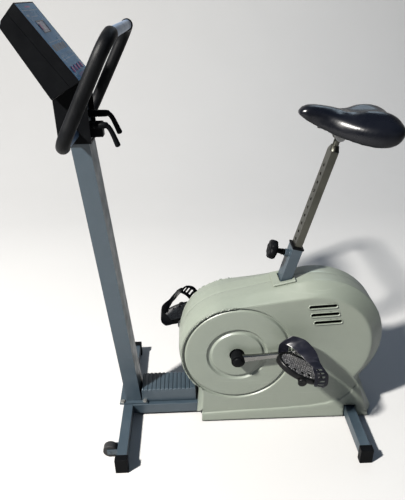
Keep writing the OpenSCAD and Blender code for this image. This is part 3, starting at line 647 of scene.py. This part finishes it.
def shroud_shell(side):
    """One half: side face with its grooves and ledge, chamfer, and half of the band."""
    loops, open_ray = [], []
    for angle in shroud_rays():
        dx, dz = cos(angle), sin(angle)
        outer = max(reach(OUTER, angle), reach(SKIRT_OUTER, angle) if dz < 0 else 0)
        face = max(reach(FACE, angle), reach(SKIRT_FACE, angle) if dz < 0 else 0)
        face = max(DISC_R + 0.2, min(face, outer))
        crease = face
        if dz < 0:
            for step in range(200):
                r = DISC_R + (face - DISC_R) * step / 199
                if CRANK_Z + r * dz < interpolate(CREASE, r * dx):
                    crease = r
                    break
        floor_ray = CRANK_Z + outer * dz < SKIRT_Z + 0.6
        below = CRANK_Z + face * dz
        low = interpolate(CREASE, face * dx) - below if dz < 0 else 0
        half = SIDE + (flare(low) if low > 0 else 0)
        run = outer - face
        turn = min(5.0, 0.35 * run + 0.5, 0.3 * max(face - DISC_R, 1.0) + 0.5)
        if floor_ray:
            turn = 0.0
        stop = max(DISC_R + 0.1, face - turn)
        crease = min(crease, stop)
        row = list(DISC)
        row += [(DISC_R + (crease - DISC_R) * i / FLAT_STEPS, SIDE)
                for i in range(1, FLAT_STEPS + 1)]
        for i in range(1, SKIRT_STEPS + 1):
            r = crease + (stop - crease) * (i / SKIRT_STEPS) ** 1.6
            drop = interpolate(CREASE, r * dx) - (CRANK_Z + r * dz)
            row.append((r, SIDE + flare(drop) if crease < stop else SIDE))
        band = SKIRT_BAND if CRANK_Z + outer * dz < SKIRT_TOP else BAND
        if floor_ray:
            row += [(face, half)] * EDGE_POINTS
        else:
            a, b = (face, half), (outer, band)
            length = hypot(b[0] - a[0], b[1] - a[1])
            for t in (-1.0, -0.5, 0.0, 0.5, 1.0):
                k = abs(t) * turn
                pull = 0.45 * turn * (1 - t * t) * 0.5
                if t <= 0:
                    p = (a[0] - k, a[1])
                else:
                    p = (a[0] + (b[0] - a[0]) * k / length, a[1] + (b[1] - a[1]) * k / length)
                row.append((p[0] - pull * 0.3, p[1] - pull))
            for t in (0.25, 0.5, 0.75):
                row.append((a[0] + (b[0] - a[0]) * t, a[1] + (b[1] - a[1]) * t))
            for t in (-1.0, -0.5, 0.0, 0.5, 1.0):
                k = abs(t) * 4.0
                pull = 0.4 * 4.0 * (1 - t * t) * 0.5
                if t <= 0:
                    p = (b[0] - (b[0] - a[0]) * k / length, b[1] - (b[1] - a[1]) * k / length)
                else:
                    p = (b[0], b[1] - k)
                row.append((p[0] - pull, p[1]))
            row += [(outer, band * 0.66), (outer, band * 0.33), (outer, 0.25)]
        loops.append([(CRANK_X + r * dx, side * y, CRANK_Z + r * dz) for r, y in row])
        open_ray.append(floor_ray)
    count, n = len(loops), len(loops[0])
    keep = n - EDGE_POINTS
    verts = [p for loop in loops for p in loop]
    faces = []
    for i in range(count):
        k = (i + 1) % count
        last = keep if open_ray[i] and open_ray[k] else n
        faces += [quad(i, k, j, n) for j in range(last - 1)]
    return verts, faces


def rounded_slot(x0, x1, z, height, tilt, y0, y1):
    """A cutter with round ends, through the side face, and its outline in X and Z."""
    r, pts = height / 2, []
    for centre, start in ((x1 - r, -90), (x0 + r, 90)):
        for i in range(9):
            a = radians(start + 22.5 * i)
            pts.append((centre + r * cos(a), z + r * sin(a)))
    mid = (x0 + x1) / 2
    c, s = cos(radians(tilt)), sin(radians(tilt))
    pts = [(mid + (x - mid) * c - (q - z) * s, z + (x - mid) * s + (q - z) * c) for x, q in pts]
    return rings([[(CRANK_X + x, y, q) for x, q in pts] for y in (y0, y1)]), pts


def block(lo, hi):
    """A cuboid as (verts, faces)."""
    return rings([[(x, lo[1], lo[2]), (x, hi[1], lo[2]), (x, hi[1], hi[2]), (x, lo[1], hi[2])]
                  for x in (lo[0], hi[0])])


def cut(thing, cutters):
    """Takes closed (verts, faces) shapes, none of which touch, out of a piece."""
    tool = new_object("cutter", new_mesh("cutter", *merge(*cutters), weld=False))
    modifier(thing, "BOOLEAN", operation="DIFFERENCE", object=tool, solver="MANIFOLD")
    bake(thing)
    bpy.data.objects.remove(tool)


VENTS = ((206, 288, 424), (214, 297, 396), (225, 307, 369))    # first and last X, and Z
VENT_TILT, VENT_HEIGHT = 2.5, 11.0
REAR_FOOT_X = CRANK_X + 362              # axis of the rear stabilizer


def make_shroud():
    """Both halves, open at the vents, the rear stabilizer and the beam, with lips on the vents."""
    for side, name in SIDES:
        shell = piece(f"shroud_half_{name}", *shroud_shell(side), "shroud_plastic", "frame",
                      [f"shroud_{name}"])
        modifier(shell, "SOLIDIFY", thickness=3 * MM, offset=-1.0, use_even_offset=False)
        bake(shell)
        y0, y1 = sorted((side * 70, side * 120))
        cutters = [rounded_slot(x0, x1, z, VENT_HEIGHT, VENT_TILT, y0, y1)[0]
                   for x0, x1, z in VENTS]
        low, high = sorted((side * 40, side * 130))
        cutters.append(block((REAR_FOOT_X - 17.5, low, -5), (REAR_FOOT_X + 17.5, high, 51)))
        low, high = sorted((side * -5, side * 57))
        cutters.append(block((CRANK_X - 140, low, -5), (CRANK_X - 100, high, 49)))
        cut(shell, cutters)
        modifier(shell, "WEIGHTED_NORMAL", weight=60, keep_sharp=False)
        rims = []
        for x0, x1, z in VENTS:
            outline = rounded_slot(x0 - 1, x1 + 1, z, VENT_HEIGHT + 2, VENT_TILT, y0, y1)[1]
            rims.append(sweep([(CRANK_X + x, side * SIDE, q) for x, q in outline], 1.5, 10,
                              wrap=True))
            lip = sorted(p for p in outline
                         if p[1] < z + 2.2 * (p[0] - (x0 + x1) / 2) / (x1 - x0))
            rims.append(sweep([(CRANK_X + x, side * (SIDE + 0.4), q - 0.2) for x, q in lip],
                              2.3, 10))
        piece(f"vent_rims_{name}", *merge(*rims), "shroud_plastic", "frame")


# ---- step cover ----

def make_step():
    """A ribbed cover over the beam between mast and shroud."""
    x0, x1, half, top, low = CRANK_X - 304, CRANK_X - 129, 42.0, 98.0, 49.5
    pitch, groove = 13.5, 2.6
    steps = [(x0, top - 5), (x0 + 1.5, top - 1), (x0 + 4, top)]
    x = x0 + 6
    while x + pitch < x1:
        steps += [(x, top), (x + 0.9, top - groove), (x + 4.2, top - groove), (x + 5.1, top)]
        x += pitch
    steps += [(x1 - 2, top), (x1, top - 3)]
    loops = []
    for x, z in steps:
        loops.append([(x, -half, low), (x, half, low), (x, half, z - 5), (x, half - 1.2, z - 1.6),
                      (x, half - 4, z), (x, 0, z), (x, 4 - half, z), (x, 1.2 - half, z - 1.6),
                      (x, -half, z - 5)])
    step = piece("step_treads", *rings(loops), "frame_paint", "frame", ["step_cover"])
    bevel(step, 0.5, 2, 30)
    modifier(step, "WEIGHTED_NORMAL", weight=80)


# ---- handlebar sleeves and clamp levers ----

PIVOT = (MAST_FOOT_X - 884 * MAST_SLOPE - 7.5, 931.0)
LOOP_HALF, LOOP_H, BEND, LEAN = 215.0, 268.0, 55.0, radians(29)


def on_loop(y, s):
    """A point of the handlebar's plane: y across, s up along the plane from the pivot."""
    return (PIVOT[0] + s * sin(LEAN), y, PIVOT[1] + s * cos(LEAN))


def arc(cy, cs, r, a0, a1, steps=14):
    """Points on a circle from angle a0 to a1, in degrees."""
    return [(cy + r * cos(a), cs + r * sin(a))
            for a in (radians(a0 + (a1 - a0) * i / steps) for i in range(steps + 1))]


def make_handlebar():
    """The closed loop, and a foam sleeve over each side."""
    inner = LOOP_HALF - BEND
    bar = arc(inner, BEND, BEND, -90, 0) + arc(inner, LOOP_H - BEND, BEND, 0, 90)
    bar += arc(-inner, LOOP_H - BEND, BEND, 90, 180) + arc(-inner, BEND, BEND, 180, 270)
    piece("handlebar_loop", *sweep([on_loop(y, s) for y, s in bar], 12.5, 32, wrap=True),
          "bar_paint", "handlebar", ["handlebar"], "frame_paint")
    for side, name in SIDES:
        sleeve = arc(inner, BEND, BEND, -90, 0) + arc(inner, LOOP_H - BEND, BEND, 0, 90)
        straight = [(inner + BEND, BEND + (LOOP_H - 2 * BEND) * i / 12) for i in range(1, 12)]
        sleeve = sleeve[:15] + straight + sleeve[15:]      # 15 points to each bend
        path = [on_loop(side * y, s) for y, s in sleeve]
        radii = [15.6 + 0.25 * noise.noise(Vector(p) * 0.02) for p in path]
        radii[0] = radii[-1] = 14.6
        foam = piece(f"foam_grip_{name}", *sweep(path, radii, 36, rounded=False), "foam",
                     "handlebar", [f"foam_{name}"])


def make_levers():
    """Two bent levers with their hubs and screws, behind the mast."""
    for side, name, z in ((-1, "left", 946.0), (1, "right", 966.0)):
        back = MAST_FOOT_X - 910 * MAST_SLOPE + 24
        y = side * 24
        screw = sweep([(back - 4, y, z), (back + 20, y, z)], 4, 20, rounded=False)
        hub = lathe(((12.3, 7.8, 0), (13.2, 8.8, 0), (20, 9.0, 0), (21, 8.2, 0), (23, 8.2, 0),
                     (24, 9.0, 0), (44, 8.4, 0), (52, 7.0, 0), (54, 5.0, 0)),
                    at(back, y, z), sides=32)
        knots = [(back + 40, y, z), (back + 51, y + side * 0.5, z - 2),
                 (back + 59, y + side, z - 12), (back + 66, y + side * 2, z - 29),
                 (back + 74, y + side * 3.5, z - 51)]
        path = smooth_path(knots, 8)
        last = len(path) - 1
        arm = sweep(path, [7.2 - 1.0 * sin(pi * i / last) for i in range(last + 1)], 20)
        lever = f"clamp_lever_{name}"
        piece(f"lever_{name}", *merge(screw, hub, arm), "black_plastic", lever, [lever])


# ---- console print ----

FACE_X, FACE_Z, FACE_LEAN = CRANK_X - 371, 1059, radians(36)


def on_face(out, y, s):
    """A point near the console's face: out from it, across, and up along it."""
    c, k = cos(FACE_LEAN), sin(FACE_LEAN)
    return (FACE_X + out * c - s * k, y, FACE_Z + out * k + s * c)


def round_rectangle(y0, y1, s0, s1, r):
    """Outline of a rectangle with round corners, anticlockwise from its far upper corner."""
    pts = []
    for cy, cs, start in ((y1 - r, s1 - r, 0), (y0 + r, s1 - r, 90), (y0 + r, s0 + r, 180),
                          (y1 - r, s0 + r, 270)):
        for i in range(5):
            a = radians(start + 22.5 * i)
            pts.append((cy + r * cos(a), cs + r * sin(a)))
    return pts


def face_patch(y0, y1, s0, s1, out=0.12, r=2.0):
    """A thin printed patch with round corners on the console's face."""
    pts = round_rectangle(y0, y1, s0, s1, r)
    return rings([[on_face(o, y, s) for y, s in pts] for o in (0.0, out)])


def make_print():
    """Plain lines, marks and fields in place of the faceplate's print, and the window's bezel."""
    pale = [face_patch(-66, 66, 184, 186.4, r=1.1), face_patch(-66, 66, 56, 57.6, r=0.7)]
    pale += [face_patch(-58 + 8 * i, -54.5 + 8 * i, 62 + 4 * (i % 2), 68 + 4 * (i % 2), r=1.2)
             for i in range(15)]
    pale += [face_patch(-62 + 25 * i, -42 + 25 * i, 102, 104, r=1.0) for i in range(5)]
    pale += [face_patch(-62, -40, 170, 175, r=1.5), face_patch(-30, 24, 168, 170, r=0.8)]
    fields = [face_patch(-62 + 25 * i, -42 + 25 * i, 80, 96, r=3) for i in range(5)]
    pink = [face_patch(-29 + 13 * i, -25 + 13 * i, 4, 16, r=1.6) for i in range(5)]
    pink += [face_patch(-24, -12, 134, 150, r=2.5), face_patch(-20, 20, 192, 196, r=1.6)]
    for name, parts, material in (("print_lines", pale, "print_pale"),
                                  ("print_marks", pink, "print_pink"),
                                  ("print_fields", fields, "print_dark")):
        piece(name, *merge(*parts), material, "frame", slot="faceplate_print", smooth=False)
    ring = []
    for inset, out in ((0.0, 0.0), (0.0, 0.7), (1.5, 0.7), (2.2, 0.1)):
        outline = round_rectangle(-33 + inset, 33 - inset, 126 + inset, 158 - inset, 3.0)
        ring.append([on_face(out, y, s) for y, s in outline])
    piece("window_bezel", *rings(ring, (False, False)), "print_dark", "frame",
          slot="faceplate_print")


# ---- crank arms, seat knob ----

def make_cranks():
    """Tapered arms with soft edges, an eye at the pedal and a black cap over the spindle's end."""
    sections = ((-13, 5, 4.0), (-11.5, 9.5, 6.0), (-6, 14, 7.5), (2, 15, 8.2), (12, 14, 8.0),
                (26, 11.2, 7.2), (45, 9.8, 6.6), (90, 9.0, 6.2), (135, 8.8, 6.0), (152, 10.0, 6.2),
                (163, 11.8, 6.5), (171, 12.2, 6.5), (178, 9.6, 6.3), (181.5, 5.0, 5.0))
    for side, name in SIDES:
        loops = []
        for x, half_z, half_y in sections:
            loop = []
            for j in range(24):
                a = 2 * pi * j / 24
                c, s = cos(a), sin(a)
                loop.append((x, half_y * copysign(abs(c) ** 0.5, c),
                             half_z * copysign(abs(s) ** 0.62, s)))
            loops.append(loop)
        turn = at(CRANK_X, side * 105, CRANK_Z) @ Matrix.Rotation(
            radians(-5 if side < 0 else 175), 4, "Y")
        arm = piece(f"crank_arm_{name}", *moved(rings(loops), turn), "chrome", "crank_set",
                    [f"crank_{name}"])
        modifier(arm, "SUBSURF", levels=1, render_levels=1)
        outwards = spun(90 * side, "Z")
        eye = lathe(((-6, 12, 0), (6.5, 12, 0), (7.5, 11, 0), (7.6, 8.5, 0), (6.2, 8.0, 0),
                     (6.2, 0.6, 0)), turn @ at(CRANK_LENGTH, 0, 0) @ outwards)
        piece(f"pedal_eye_{name}", *eye, "steel", "crank_set")
        cap = lathe(((-2, 15.4, 0), (0.6, 15.2, 0), (2.6, 13.6, 0), (4.2, 10.6, 0), (5.0, 7.0, 0),
                     (5.4, 3.5, 0), (5.5, 0.5, 0)),
                    at(CRANK_X, side * 121.0, CRANK_Z) @ outwards)
        piece(f"hub_cap_{name}", *cap, "black_plastic", "crank_set")


def make_knob():
    """The lobed knob in front of the seat tube, its stem and its pin."""
    lean = radians(16)
    tube = at(CRANK_X + 23.7, 0, 47) @ Matrix.Rotation(lean, 4, "Y")
    place = tube @ at(-15, 0, 526) @ Matrix.Rotation(pi, 4, "Z")
    head = lathe(((35.5, 8.5, 0), (37, 13, 0), (38, 19, 0.2), (40, 24.5, 0.7), (44, 27.0, 1),
                  (52, 27.6, 1),
                  (57, 26.2, 1), (60, 22.5, 0.8), (61.0, 17, 0.2), (60.2, 13, 0), (60.2, 9, 0),
                  (61.0, 8, 0), (61.0, 0.5, 0)), place, lobes=8, depth=1.9, sides=96)
    stem = lathe(((12.4, 7.5, 0), (13.2, 9.0, 0), (22, 9.0, 0), (24, 7.6, 0), (33, 7.4, 0),
                  (37, 9.5, 0)), place)
    pin = lathe(((-4.5, 3.0, 0), (-3.5, 4.0, 0), (13, 4.0, 0)), place, sides=24)
    piece("knob", *merge(head, stem), "black_plastic", "seat_knob", ["seat_knob"])
    piece("knob_pin", *pin, "steel", "seat_knob")


# ---- pedals and straps ----

PEDAL_Y, PEDAL_HALF_W, PEDAL_HALF_L = 174.0, 49.0, 75.0
RIM_STEPS, TREAD_NX, TREAD_NY = 96, 118, 74
TREAD_Z, STUD_PITCH, STUD_HEIGHT = 7.0, 7.4, 1.5


def pedal_frame(side):
    """Turns a pedal's own millimetres, X along it and Z up through it, into the row frame."""
    rise = radians(5)
    tilt = radians(30 if side < 0 else -18)
    place = (CRANK_X - side * CRANK_LENGTH * cos(rise), side * PEDAL_Y,
             CRANK_Z - side * CRANK_LENGTH * sin(rise))
    mirror = Matrix.Diagonal((1, -side, 1, 1))
    return Matrix.Translation(place) @ Matrix.Rotation(tilt, 4, "Y") @ mirror


def half_width(x):
    """Half width of the platform at x along it: an oval with drawn-in ends."""
    return PEDAL_HALF_W * max(0.0, 1 - abs(x / PEDAL_HALF_L) ** 2.3) ** 0.56


def outline_point(t, grow=0.0):
    """A point of the platform's outline, t going once round from 0 to 1."""
    a = 2 * pi * t
    x = PEDAL_HALF_L * cos(a)
    y = half_width(x) * (1 if sin(a) >= 0 else -1)
    d = hypot(x, y) or 1
    return x + grow * x / d, y + grow * y / d


def make_platform(name, side):
    """Rim, tread field with studs and drainage holes, black discs of painted shade over these
    holes, and the barrel round the spindle.
    """
    turn = pedal_frame(side)
    rim = []
    for grow, z in ((-9, 6.2), (-8.2, 7.2), (-7, 9.0), (-4, 10.0), (-1.5, 9.4), (0, 7.4), (0.4, 4),
                    (0, -4), (-2, -7.6), (-6, -8.8), (-14, -9.0), (-15, -6.0), (-15, 4.6)):
        rim.append([(*outline_point(j / RIM_STEPS, grow), z) for j in range(RIM_STEPS)])
    shell = rings(rim, (False, False))
    barrel = lathe(((-50, 9.0, 0), (-48, 9.8, 0), (46, 9.8, 0), (47, 11.4, 0), (53, 11.6, 0),
                    (54.5, 12.6, 0), (57, 12.4, 0), (58, 10.8, 0), (58.4, 5, 0), (58.4, 0.5, 0)),
                   at(0, 0, -4.5) @ spun(-90, "Z"),
                   sides=32)
    piece(f"{name}_body", *moved(merge(shell, barrel), turn), "tread", name, [name])
    verts = []
    for i in range(TREAD_NX + 1):
        x = -67.5 + 135 * i / TREAD_NX
        w = max(1.0, half_width(x * 1.085) - 7.2)
        for j in range(TREAD_NY + 1):
            y = -w + 2 * w * j / TREAD_NY
            u = cos(pi * ((x + y) / STUD_PITCH))
            v = cos(pi * ((x - y) / STUD_PITCH))
            stud = max(0.0, u) * max(0.0, v) + max(0.0, -u) * max(0.0, -v)
            z = TREAD_Z + STUD_HEIGHT * min(1.0, stud * 1.6)
            for k in range(-2, 3):
                hx, hy = k * 24, -(36 - 2.5 * k * k)
                if hypot(x - hx, y - hy) < 4.3:
                    z = -1.0
            verts.append((x, y, z))
    faces = [quad(i, i + 1, j, TREAD_NY + 1) for i in range(TREAD_NX) for j in range(TREAD_NY)]
    piece(f"{name}_tread", *moved((verts, faces), turn), "tread_worn", name, slot="tread")
    # flat black discs over the drainage holes, painted shade standing for the holes' dark insides
    painted_hole_shades = []
    for k in range(-2, 3):
        place = turn @ at(24 * k - 3, -(29 - 2.2 * k * k), 8.4)
        painted_hole_shades.append(lathe(((0, 4.2, 0), (0.3, 4.0, 0), (0.3, 0.3, 0)),
                            place @ spun(-90, "Y"), sides=16))
    piece(f"{name}_drains", *merge(*painted_hole_shades), "drain", name, slot="tread")


# the strap's two edges, in the pedal's own millimetres
LOW_EDGE = ((-60, 40, -5), (-66, 46, 8), (-66, 52, 20), (-50, 44, 28), (-35, 28, 34), (-23, 8, 38),
            (-7, -14, 39), (8, -34, 40), (16, -41, 33), (25, -44, 24), (32, -47, 12), (37, -48, 2),
            (42, -46, -6))
HIGH_EDGE = ((-26, 44, -5), (-40, 50, 22), (-51, 54, 54), (-18, 47, 66), (2, 24, 69), (16, 0, 66),
             (26, -21, 57), (34, -34, 54), (45, -39, 50), (58, -42, 43), (67, -45, 29),
             (73, -46, 15), (71, -45, 3))
STRAP_ACROSS, LADDER_ROWS = 12, 34


def make_strap(name, side):
    """A band between two edges that crosses over the foot, with slots along its last rows."""
    turn = pedal_frame(side)
    lift, ahead = (1.0, 0.0) if side < 0 else (1.42, 10.0)
    edges = []
    for edge in (LOW_EDGE, HIGH_EDGE):
        edges.append(smooth_path([(x + ahead * max(0.0, z) / 56, y, z * (lift if z > 0 else 1.0))
                                  for x, y, z in edge], 7))
    count = len(edges[0])
    verts = []
    for i in range(count):
        low, high = edges[0][i], edges[1][i]
        j, k = min(i + 1, count - 1), max(i - 1, 0)
        along = edges[0][j] + edges[1][j] - edges[0][k] - edges[1][k]
        out = along.cross(high - low).normalized()
        for j in range(STRAP_ACROSS + 1):
            t = j / STRAP_ACROSS
            fade = max(0.0, sin(pi * min(1.0, i / (0.6 * count))))
            crease = 0.5 * sin(i * 0.9 + 5 * t) * fade
            verts.append(tuple(low.lerp(high, t) + out * (6.4 * t * (1 - t) + crease)))
    faces = []
    for i in range(count - 1):
        for j in range(STRAP_ACROSS):
            slot = i > count - LADDER_ROWS and (count - i) % 6 in (1, 2, 3) and 3 <= j <= 8
            if not slot:
                faces.append(quad(i, i + 1, j, STRAP_ACROSS + 1))
    band = piece(name, *moved((verts, faces), turn), "strap_rubber",
                 name.replace("strap", "pedal"), [name])
    modifier(band, "SOLIDIFY", thickness=2.4 * MM, offset=0.0)
    bevel(band, 0.6, 2, 50)
    bake(band)


# ---- saddle ----

NOSE_X, LENGTH, STRETCH = 149.0, 256, 1.045
PAD_SHRINK = 4.0                         # the pad starts smaller, because pressure swells it
SWELL_CAP = 0.006                        # metres that a point may move in the simulation
CLOTH_STEPS = 20

# half width, top, height of the two lobes and bottom, each against distance from the nose
WIDTH = ((0, 9), (3, 17), (10, 24), (24, 29), (50, 33), (76, 42), (100, 58), (126, 79), (150, 95),
         (176, 105), (200, 109), (224, 107), (242, 97), (251, 80), (255, 55), (256, 30))
TOP = ((0, 960), (4, 969), (12, 977), (34, 982), (60, 979), (80, 973), (110, 963), (140, 957),
       (180, 955), (215, 954), (238, 949), (250, 940), (256, 930))
LOBE = ((0, 0), (90, 0), (125, 5), (160, 15), (200, 16), (236, 8), (256, 0))
BOTTOM = ((0, 953), (6, 947), (20, 939), (54, 921), (86, 903), (120, 893), (150, 886), (180, 881),
          (210, 881), (230, 887), (246, 900), (256, 912))
# the turn under the rim: share of the half width, and of the drop from mid height to bottom
UNDER = ((1.0, -0.25), (0.99, -0.5), (0.965, -0.75), (0.93, -0.92), (0.88, -1.0), (0.80, -1.0),
         (0.73, -0.85))


def saddle_mesh(shrink):
    """Cross-sections from nose to tail: a crowned top with two lobes, full sides, hollow below."""
    loops = []
    for i in range(61):
        t = 1 - cos(pi * i / 60)
        u = LENGTH * t / 2
        w = max(1.5, eased(WIDTH, u) - shrink)
        top, low = eased(TOP, u) - shrink, eased(BOTTOM, u) + shrink
        lobe = eased(LOBE, u)
        inner = min(top - 6, max(low + 1.5, 926)) if 70 < u < 238 else low + 1.0
        mid = low + 0.45 * (top - low)
        loop = []
        for j in range(33):
            a = pi * j / 32
            c, k = cos(a), sin(a)
            y = w * copysign(abs(c) ** 0.78, c)
            z = mid + (top - mid) * k ** 0.72
            z += lobe * exp(-((abs(y) / w - 0.50) / 0.26) ** 2) * k
            loop.append((y, z))
        under = [(w * f, mid + (mid - low) * d) for f, d in UNDER]
        under += [(w * 0.68, inner), (w * 0.45, inner), (w * 0.2, inner)]
        loop += [(-y, z) for y, z in under] + under[::-1]
        x = CRANK_X + NOSE_X + STRETCH * u + (shrink if u < 20 else 0)
        loops.append([(x, y, z) for y, z in loop])
    return rings(loops)


def make_saddle():
    """The padded cover: a smaller shape swelled by a short cloth simulation under pressure."""
    pad = piece("saddle_pad", *saddle_mesh(PAD_SHRINK), "vinyl", "saddle", ["saddle_cushion"])
    modifier(pad, "REMESH", mode="VOXEL", voxel_size=0.0045, use_smooth_shade=True)
    modifier(pad, "SMOOTH", factor=0.5, iterations=10)
    bake(pad)
    rest = [v.co.copy() for v in pad.data.vertices]
    held = [v.index for v in pad.data.vertices if v.normal.z < -0.6 and v.co.z < 0.935]
    pad.vertex_groups.new(name="held").add(held, 1.0, "REPLACE")
    cloth = modifier(pad, "CLOTH").settings
    cloth.quality = 5
    cloth.mass = 0.3
    cloth.tension_stiffness = cloth.compression_stiffness = 18
    cloth.shear_stiffness = 6
    cloth.bending_stiffness = 3
    cloth.use_pressure = True
    cloth.uniform_pressure_force = 4.0
    cloth.effector_weights.gravity = 0.0
    cloth.vertex_group_mass = "held"
    scene = bpy.context.scene
    scene.frame_start, scene.frame_end = 1, CLOTH_STEPS
    for step in range(1, CLOTH_STEPS + 1):
        scene.frame_set(step)
    bake(pad)
    scene.frame_set(1)
    for vertex, was in zip(pad.data.vertices, rest):
        shift = vertex.co - was
        if shift.length > SWELL_CAP:
            vertex.co = was + shift.normalized() * SWELL_CAP
    modifier(pad, "SMOOTH", factor=0.5, iterations=4)
    modifier(pad, "SUBSURF", levels=1, render_levels=1)
    bake(pad)


# ---- floor and backdrop ----

FLOOR_HALF_X, FLOOR_FRONT_Y, BEND_Y, BEND_R, WALL_TOP = 9, -6, 1.6, 2.4, 9.0    # metres


def make_floor():
    """A pale floor that bends up into a wall behind the bike."""
    slope = [(FLOOR_FRONT_Y, 0), (BEND_Y, 0)]
    for i in range(1, 11):
        a = radians(9 * i)
        slope.append((BEND_Y + BEND_R * sin(a), BEND_R - BEND_R * cos(a)))
    slope.append((BEND_Y + BEND_R, WALL_TOP))
    mesh = bpy.data.meshes.new("floor")
    mesh.from_pydata([(x, y, z) for y, z in slope for x in (-FLOOR_HALF_X, FLOOR_HALF_X)], [],
                     [(2 * i, 2 * i + 1, 2 * i + 3, 2 * i + 2) for i in range(len(slope) - 1)])
    for polygon in mesh.polygons:
        polygon.use_smooth = True
    mesh.materials.append(MATERIAL["floor"])
    new_object("floor", mesh)


# ---- the whole ----

place_camera()
place_lights()
dress_frame()
make_shroud()
make_step()
make_handlebar()
make_levers()
make_print()
make_cranks()
make_knob()
for pedal_side, side_name in SIDES:
    make_platform(f"pedal_{side_name}", pedal_side)
    make_strap(f"strap_{side_name}", pedal_side)
make_saddle()
make_floor()
